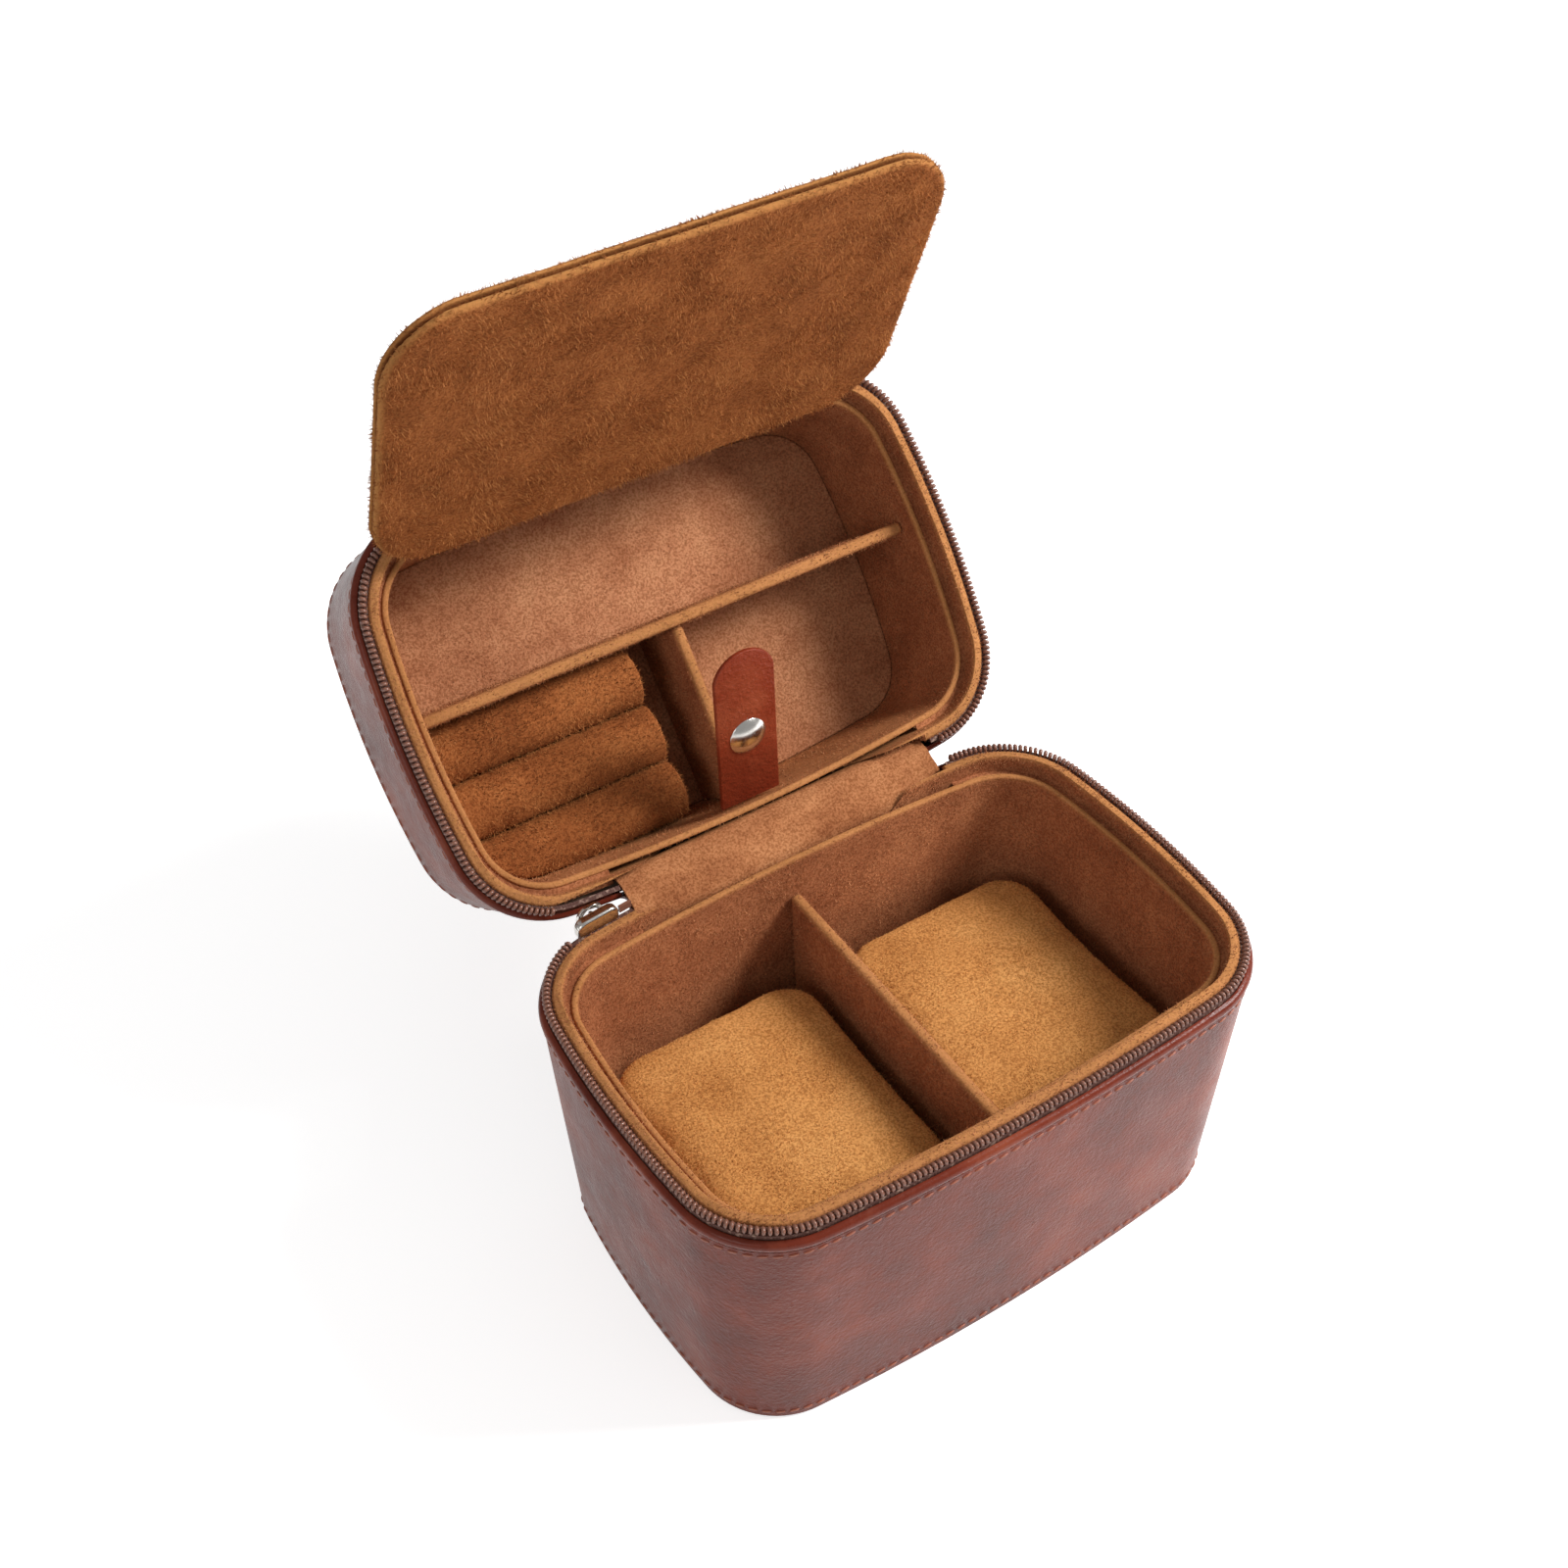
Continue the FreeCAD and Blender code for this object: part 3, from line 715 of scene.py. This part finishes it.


# %% [markdown]
# ## Suede lining
# The collar stands up inside the zip, the tray wall sits behind it, and dividers split the space.
# They are card wrapped in suede, so every edge is soft. Each is traced and its edges are bevelled.
# A painted "rim" value says how near a point is to the top edge, where a pale gold painted highlight
# stands in for the light caught by the suede. A floor pad has no such edge, so its top is given as far
# above it.

# %% Collars, trays, floors and dividers
trays = {"base": base_place, "lid": lid_place}


def paint_top_highlight(piece, tray, top, reach):
    """Paints a highlight on the points near the top edge, where the suede catches the light."""
    height = in_place(points_of(piece), tray)[:, 2]
    most = 0.45
    paint(piece, "rim", most * np.clip(1 - (top - height) / reach, 0, 1) ** 1.5)


def cut_rings(piece, tray, heights):
    """Adds edge rings at these heights, so that paint near an edge stays near it."""
    select_only(piece)
    for height in heights:
        bpy.ops.object.mode_set(mode="EDIT")
        bpy.ops.mesh.select_all(action="SELECT")
        up = (tray.to_3x3() @ Vector((0, 0, 1))).normalized()
        bpy.ops.mesh.bisect(plane_co=tray @ Vector((0, 0, height)), plane_no=up)
        bpy.ops.object.mode_set(mode="OBJECT")


def line_with_suede(node, body, bevel, top, reach, material=lining_suede):
    piece = trace(node, node + "_suede")
    round_edges(piece, bevel, 4, 50)
    cut_rings(piece, trays[body], [top - reach, top - reach * 0.4])
    smooth(piece, 60)
    paint_top_highlight(piece, trays[body], top, reach)
    hand_in(piece, body, "lining_suede", material, node)
    return piece


def above(tray, height):
    """Keeps the faces that lie above a height in a tray."""
    return lambda middle, normal: in_place(middle, tray)[:, 2] > height


collar_foot = -5 * mm
far_above = 1.0
for body, tray in trays.items():
    collar = line_with_suede(body + "_collar", body, bevel=0.55 * mm, top=-0.6 * mm, reach=1.6 * mm)
    grow_pile(
        collar, body, "lining_suede", lining_suede,
        per_mm2=3.0, length=0.7 * mm, seed=11, keep=above(tray, collar_foot),
    )
    wall = line_with_suede(body + "_tray_wall", body, bevel=0.6 * mm, top=-4.6 * mm, reach=1.4 * mm)
    grow_pile(wall, body, "lining_suede", lining_suede, per_mm2=0.9, length=0.8 * mm, seed=21)
    pad = line_with_suede(
        body + "_floor_pad", body, bevel=0.5 * mm, top=far_above, reach=0.5 * mm, material=floor_suede
    )
    grow_pile(pad, body, "lining_suede", floor_suede, per_mm2=0.9, length=0.5 * mm, seed=31)

dividers = {
    "base_divider": ("base", -15.2 * mm),
    "lid_long_divider": ("lid", -10 * mm),
    "lid_short_divider": ("lid", -12 * mm),
}
for node, (body, top) in dividers.items():
    wall = line_with_suede(node, body, bevel=1.2 * mm, top=top, reach=1.6 * mm)
    grow_pile(wall, body, "lining_suede", lining_suede, per_mm2=1.6, length=0.8 * mm, seed=41)

# %% [markdown]
# ## Padded pieces
# The two watch cushions are foam blocks in suede and the ring rolls are stuffed tubes.
# A cushion is remeshed into even squares, drawn in a little and blown up with cloth pressure,
# which rounds its edges as filling does. The push is capped and the foot stays flat on the floor.
# The real tops are flat with a firm edge, so the corners and the top edge are then pulled out again.

# %% Filling by cloth pressure
def evenly(piece, size):
    piece.data.remesh_voxel_size = size
    select_only(piece)
    bpy.ops.object.voxel_remesh()


def swell(piece, shrink, cap, foot):
    """Blows up a cushion by at most cap, keeping its foot flat."""
    start = points_of(piece)
    middle = (start.min(0) + start.max(0)) / 2
    half = (start.max(0) - start.min(0)) / 2
    start = middle + (start - middle) * (1 - shrink / half)
    set_points(piece, start)
    select_only(piece)
    cloth = piece.modifiers.new("Filling", "CLOTH")
    cloth.settings.use_pressure = True
    cloth.settings.uniform_pressure_force = 4
    cloth.settings.effector_weights.gravity = 0
    last_frame = 20
    for number in range(1, last_frame + 1):
        bpy.context.scene.frame_set(number)
    bpy.ops.object.modifier_apply(modifier=cloth.name)
    bpy.context.scene.frame_set(1)
    push = points_of(piece) - start
    length = np.maximum(np.linalg.norm(push, axis=1, keepdims=True), 1e-9)
    done = start + push * np.minimum(1, cap / length)
    done[:, 2] = np.maximum(done[:, 2], foot)
    set_points(piece, done)


def square_up(piece, corner_pull, edge_pull, edge_depth):
    """Pulls a cushion's corners towards a square and its top edge outwards, so that the top is flat."""
    points = points_of(piece)
    rise = np.clip((points[:, 2] - points[:, 2].max()) / edge_depth + 1, 0, 1)
    spread = 1 + edge_pull * rise ** 2
    middle = (points.min(0) + points.max(0)) / 2
    half = (points.max(0) - points.min(0)) / 2
    share = (points - middle) / half
    x, y = share[:, 0].copy(), share[:, 1].copy()
    share[:, 0] = x * (spread + corner_pull * y ** 4)
    share[:, 1] = y * (spread + corner_pull * x ** 4)
    set_points(piece, middle + share * half)


def upper_side(middle, normal):
    """Keeps the faces that don't look down."""
    return normal[:, 2] > -0.3


cushion_mesh = 2.6 * mm
wrinkle_depth, wrinkle_size = 0.18 * mm, 9 * mm
for side in ("left", "right"):
    node = "watch_cushion_" + side
    pad = trace(node, node + "_pad")
    low = points_of(pad).min(0)[2]
    evenly(pad, cushion_mesh)
    swell(pad, shrink=0.2 * mm, cap=2.4 * mm, foot=low)
    square_up(pad, corner_pull=0.06, edge_pull=0.25, edge_depth=6.6 * mm)
    add_modifier(pad, "SUBSURF", levels=1, render_levels=1)
    skin = points_of(pad)
    skin += wrinkle_depth * ripple(skin, wrinkle_size, seed=1)[:, None]
    skin[:, 2] = np.maximum(skin[:, 2], low)
    set_points(pad, skin)
    smooth(pad, 180)
    hand_in(pad, "cushion_" + side, "cushion_suede", cushion_suede, node)
    grow_pile(
        pad, "cushion_" + side, "cushion_suede", cushion_suede,
        per_mm2=2.6, length=0.5 * mm, seed=51, keep=upper_side,
    )

# %% Ring rolls
roll_mesh = 0.9 * mm
tuft_height, tuft_size = 0.22 * mm, 2.2 * mm
for number in (1, 2, 3):
    node = "ring_roll_" + str(number)
    roll = trace(node, node + "_plush")
    evenly(roll, roll_mesh)
    add_modifier(roll, "SMOOTH", iterations=6, factor=0.5)
    plush = points_of(roll)
    plush += tuft_height * ripple(plush, tuft_size, number)[:, None]
    set_points(roll, plush)
    smooth(roll, 180)
    hand_in(roll, "lid", "flap_suede", flap_suede, node)
    grow_pile(roll, "lid", "flap_suede", flap_suede, per_mm2=1.8, length=1.2 * mm, seed=61)

# %% [markdown]
# ## The flap
# The flap is two plies of plush suede over a thin board, open towards the front. Each ply is traced,
# remeshed finely and given a slow ripple, because a real flap is never quite flat, and its rim is
# given a bright painted highlight. Plush stands proud of its board, so the plies are drawn out a little.

# %% Two suede plies
def flap_edge_highlight(points):
    """How strongly each point of the flap takes the painted edge highlight, by how near it is to the
    outline, from 0 inside to 0.6 at the edge.
    """
    flat = in_place(points, flap_place)
    flap_middle = 0.5 * mm
    x, y = np.abs(flat[:, 0]), np.abs(flat[:, 1] - flap_middle)
    corner_x, corner_y, round_off = 49.4 * mm, 24 * mm, 17 * mm
    dx, dy = x - corner_x, y - corner_y
    outside = np.hypot(np.maximum(dx, 0), np.maximum(dy, 0)) + np.minimum(np.maximum(dx, dy), 0)
    rim_width = 1.3 * mm
    return 0.6 * np.clip(1 - (round_off - outside) / rim_width, 0, 1)


plush_stretch = np.array([1.03, 1.025, 1.0])
ply_mesh = 0.75 * mm
for ply in ("outer", "inner"):
    node = "flap_" + ply + "_pad"
    sheet = trace(node, "flap_" + ply + "_ply")
    evenly(sheet, ply_mesh)
    add_modifier(sheet, "SMOOTH", iterations=3, factor=0.5)
    flat = in_place(points_of(sheet), flap_place) * plush_stretch
    turned = np.array(flap_place)
    cloth_points = flat @ turned[:3, :3].T + turned[:3, 3]
    paint(sheet, "rim", flap_edge_highlight(cloth_points))
    out = np.array((flap_place.to_3x3() @ Vector((0, 0, 1))).normalized())
    slow_wave = 0.12 * mm * ripple(cloth_points, size=14 * mm, seed=3)
    fine_wave = 0.06 * mm * ripple(cloth_points, size=3 * mm, seed=4)
    set_points(sheet, cloth_points + out * (slow_wave + fine_wave)[:, None])
    smooth(sheet, 180)
    hand_in(sheet, "flap", "flap_suede", flap_suede, node)
    facing = out if ply == "outer" else -out
    grow_pile(
        sheet, "flap", "flap_suede", flap_suede, per_mm2=2.2, length=1.4 * mm, seed=71,
        keep=lambda middle, normal: normal @ facing > -0.5,
    )

# %% Snap patch on the flap
patch = trace("flap_snap_patch", "flap_patch")
round_edges(patch, 0.3 * mm)
smooth(patch, 50)
hand_in(patch, "flap", "tab_leather", tab_leather, "flap_snap_patch")

# %% [markdown]
# ## Hinge strips
# A folded leather strip joins the halves outside, and a pale suede strip lines the fold inside.
# Each is a grid bent along a smoothed run, with a few lengthwise creases, given thickness by Solidify.
# It is cut in two at the fold, and each half is kept in place as a piece of its own, on no body.

# %% Bending a grid along a run
def rounded_run(corners, times=3):
    """A run of points with its corners cut off again and again, its ends kept."""
    run = [np.array(p, float) for p in corners]
    for _ in range(times):
        cut = [run[0]]
        for a, b in zip(run, run[1:]):
            cut += [a * 0.75 + b * 0.25, a * 0.25 + b * 0.75]
        run = cut + [run[-1]]
    return np.array(run)


def bent_sheet(name, run, left, right, thickness, crease, seed, rows=48):
    """A grid from left to right along X, following a run of (y, z) points."""
    bpy.ops.object.select_all(action="DESELECT")
    bpy.ops.mesh.primitive_grid_add(x_subdivisions=70, y_subdivisions=rows, size=1)
    sheet = bpy.context.object
    sheet.name = name
    flat = points_of(sheet)
    steps = np.concatenate([[0], np.cumsum(np.linalg.norm(np.diff(run, axis=0), axis=1))])
    along = (flat[:, 1] + 0.5) * steps[-1]
    y, z = np.interp(along, steps, run[:, 0]), np.interp(along, steps, run[:, 1])
    ahead, behind = along + 0.3 * mm, along - 0.3 * mm
    dy = np.interp(ahead, steps, run[:, 0]) - np.interp(behind, steps, run[:, 0])
    dz = np.interp(ahead, steps, run[:, 1]) - np.interp(behind, steps, run[:, 1])
    size = np.maximum(np.hypot(dy, dz), 1e-9)
    x = left + (flat[:, 0] + 0.5) * (right - left)
    long_way, short_way = 24 * mm, 2.3 * mm
    folds = np.array([noise.noise(Vector((a / long_way, b / short_way, seed))) for a, b in zip(x, along)])
    calm = np.sin(np.pi * along / steps[-1])
    push = crease * folds * calm
    set_points(sheet, np.column_stack([x, y - dz / size * push, z + dy / size * push]))
    add_modifier(sheet, "SOLIDIFY", thickness=thickness, offset=0)
    return sheet


def cut_at_fold(sheet, name):
    """Cuts a sheet in two at the plane that halves the open angle, and returns both parts."""
    parts = []
    for part, flip in (("lower", 1), ("upper", -1)):
        piece = bpy.data.objects.new(name + "_" + part, sheet.data.copy())
        bpy.context.scene.collection.objects.link(piece)
        select_only(piece)
        bpy.ops.object.mode_set(mode="EDIT")
        bpy.ops.mesh.select_all(action="SELECT")
        bpy.ops.mesh.bisect(plane_co=hinge, plane_no=fold_normal * flip, clear_outer=True, use_fill=True)
        bpy.ops.object.mode_set(mode="OBJECT")
        smooth(piece, 60)
        parts.append(piece)
    bpy.data.objects.remove(sheet)
    return parts


def opened(y, z):
    """A point of the shut lid, from the hinge line, turned to the open pose."""
    turn = math.radians(lid_open)
    return (y * math.cos(turn) + z * math.sin(turn), -y * math.sin(turn) + z * math.cos(turn))


def from_hinge(points):
    return [(hinge.y + y * mm, hinge.z + z * mm) for y, z in points]


fold_turn = math.radians(lid_open / 2)
fold_normal = Vector((0, math.sin(fold_turn), math.cos(fold_turn)))
lining_in, lining_end, lining_bend, crease_at, outer_end = 4.7, 9.0, 4.6, 2.2, 9.9
lining_run = rounded_run(from_hinge([
    (-lining_in, -lining_end), (-lining_in, -lining_bend), (-crease_at, -crease_at),
    opened(-crease_at, crease_at), opened(-lining_in, lining_bend), opened(-lining_in, lining_end),
]))
outer_run = rounded_run(from_hinge([
    (0, -outer_end), (0, -crease_at), opened(0, crease_at), opened(0, outer_end),
]))
strip_left, strip_right = -39.7 * mm, 45.7 * mm
strips = (
    ("hinge_lining", lining_run, 0.7 * mm, 0.35 * mm, strip_suede, "lining_suede"),
    ("hinge_leather", outer_run, 0.7 * mm, 0.03 * mm, case_leather, "case_leather"),
)
for node, run, thickness, crease, material, slot in strips:
    whole = bent_sheet(node + "_sheet", run, strip_left, strip_right, thickness, crease, seed=5.0)
    lower, upper = cut_at_fold(whole, node)
    for part, first, second, edge in ((lower, "base", "hinge", run[0]), (upper, "hinge", "lid", run[-1])):
        hand_in(part, None, slot, material, node)
        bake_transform(part)

# %% [markdown]
# ## Flap strip and snap tab
# A short suede strip carries the flap on the lid's collar.
# The tab is one thickness of red-brown leather with a rounded tip, edges bevelled, and a domed cap.
# The dome is a sphere cut low, with its foot rounded by a bevel.

# %% Flap strip
strip = trace("flap_hinge_strip", "flap_strip")
smooth(strip, 30)
hand_in(strip, None, "flap_suede", flap_suede, "flap_hinge_strip")
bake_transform(strip)

# %% Tab
tab = trace("snap_tab", "tab_strap")
round_edges(tab, 0.35 * mm)
smooth(tab, 50)
hand_in(tab, "tab", "tab_leather", tab_leather, "snap_tab")

# %% Domed cap
cap_radius, cap_height = 5.0 * mm, 1.9 * mm
ball_radius = (cap_radius ** 2 + cap_height ** 2) / (2 * cap_height)
cap_from_root, cap_seat = 19.5 * mm, -6.6 * mm
seat = Vector((0, tab_root_y - cap_from_root, cap_seat))
bpy.ops.object.select_all(action="DESELECT")
bpy.ops.mesh.primitive_uv_sphere_add(segments=48, ring_count=64, radius=ball_radius)
cap = bpy.context.object
cap.name = "snap_cap_dome"
bpy.ops.object.mode_set(mode="EDIT")
bpy.ops.mesh.select_all(action="SELECT")
bpy.ops.mesh.bisect(
    plane_co=(0, 0, ball_radius - cap_height), plane_no=(0, 0, -1), clear_outer=True, use_fill=True
)
bpy.ops.object.mode_set(mode="OBJECT")
round_edges(cap, 0.35 * mm, 4, 30)
smooth(cap, 60)
move_mesh(cap, tab_place @ Matrix.Translation(seat + Vector((0, 0, cap_height - ball_radius))))
hand_in(cap, "tab", "nickel", nickel, "snap_cap")

# %% [markdown]
# ## Metal
# The slider, its bail, the pull, the stud and the socket are small nickel castings.
# Traced from the frame with a fine bevel, their edges catch a line of light as polished metal does.
# The slider is closed over its channel by a convex hull, so that it shows as one smooth plate.

# %% Slider, pull and snaps
slider = trace("zip_slider", "zip_slider_cast")
bpy.ops.object.mode_set(mode="EDIT")
bpy.ops.mesh.select_all(action="SELECT")
bpy.ops.mesh.convex_hull()
bpy.ops.object.mode_set(mode="OBJECT")
round_edges(slider, 0.7 * mm, 4, 50)
smooth(slider, 70)
hand_in(slider, "slider", "nickel", nickel, "zip_slider")
metal = {
    "zip_slider_bail": "slider", "zip_pull": "pull",
    "flap_snap_stud": "flap", "snap_socket": "tab",
}
for node, body in metal.items():
    cast = trace(node, node + "_cast")
    round_edges(cast, 0.12 * mm, 3, 40)
    smooth(cast, 45)
    hand_in(cast, body, "nickel", nickel, node)
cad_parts["zip_chain_end"].data.materials.clear()
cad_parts["zip_chain_end"].data.materials.append(coil_nylon)

# %% [markdown]
# ## Stage, light and camera
# A plain pale floor and a white world, one large soft light from the right and above, and a weak fill
# from the left. The floor shows white to the camera and still takes the object's shadow.

# %% Floor and world
bpy.ops.object.select_all(action="DESELECT")
bpy.ops.mesh.primitive_plane_add(size=80)
floor = bpy.context.object
floor.name = "floor"
paper, tree, shader = start_material("paper")
shader.inputs["Base Color"].default_value = (0.86, 0.86, 0.86, 1)
shader.inputs["Roughness"].default_value = 0.9
shader.inputs["Emission Color"].default_value = (1, 1, 1, 1)
rays = tree.nodes.new("ShaderNodeLightPath")
seen = add(tree, "Math", {"operation": "MAXIMUM"})
tree.links.new(rays.outputs["Is Camera Ray"], seen.inputs[0])
tree.links.new(rays.outputs["Is Glossy Ray"], seen.inputs[1])
glow = add(tree, "Math", {"operation": "MULTIPLY"})
tree.links.new(seen.outputs[0], glow.inputs[0])
floor_glow = 0.62
glow.inputs[1].default_value = floor_glow
tree.links.new(glow.outputs[0], shader.inputs["Emission Strength"])
floor.data.materials.append(paper)

world = bpy.data.worlds.new("studio")
bpy.context.scene.world = world
world.use_nodes = True
sky = world.node_tree.nodes["Background"]
sky.inputs["Color"].default_value = (1, 1, 1, 1)
rays = world.node_tree.nodes.new("ShaderNodeLightPath")
world_light, seen_white = 0.38, 1.0
strength = add(world.node_tree, "MapRange", To_Min=world_light, To_Max=seen_white)
world.node_tree.links.new(rays.outputs["Is Camera Ray"], strength.inputs["Value"])
world.node_tree.links.new(strength.outputs["Result"], sky.inputs["Strength"])
print("floor glow", floor_glow, "and world light", world_light)

# %% Lights
aim = Vector((0.01, 0.03, 0.07))


def soft_light(name, where, size, watts):
    data = bpy.data.lights.new(name, "AREA")
    data.size = size
    data.energy = watts
    lamp = bpy.data.objects.new(name, data)
    bpy.context.scene.collection.objects.link(lamp)
    lamp.location = where
    lamp.rotation_euler = (aim - Vector(where)).to_track_quat("-Z", "Y").to_euler()
    print(name, "light of", watts, "W")


soft_light("key", where=(0.72, -0.34, 0.74), size=0.36, watts=14.0)
soft_light("fill", where=(-0.7, -0.3, 0.45), size=0.35, watts=1.2)

# %% Camera
azimuth, elevation, roll = math.radians(-32.57), math.radians(43.33), math.radians(-1.02)
distance = 0.50398
target = Vector((10.47, 62.07, 74.48)) * mm
back = Vector((
    math.sin(azimuth) * math.cos(elevation), -math.cos(azimuth) * math.cos(elevation), math.sin(elevation),
))
level_right = (-back).cross(Vector((0, 0, 1))).normalized()
level_up = level_right.cross(-back)
right = level_right * math.cos(roll) + level_up * math.sin(roll)
up = level_up * math.cos(roll) - level_right * math.sin(roll)
lens = bpy.data.cameras.new("camera")
lens.lens, lens.sensor_width = 48.08, 36
lens.clip_start, lens.clip_end = 0.01, 20
camera = bpy.data.objects.new("camera", lens)
bpy.context.scene.collection.objects.link(camera)
turn = Matrix((right, up, back)).transposed().to_4x4()
camera.matrix_world = Matrix.Translation(target + back * distance) @ turn
bpy.context.scene.camera = camera
bpy.context.scene.view_settings.view_transform = "Standard"
print("camera at", [round(v, 3) for v in camera.matrix_world.translation])
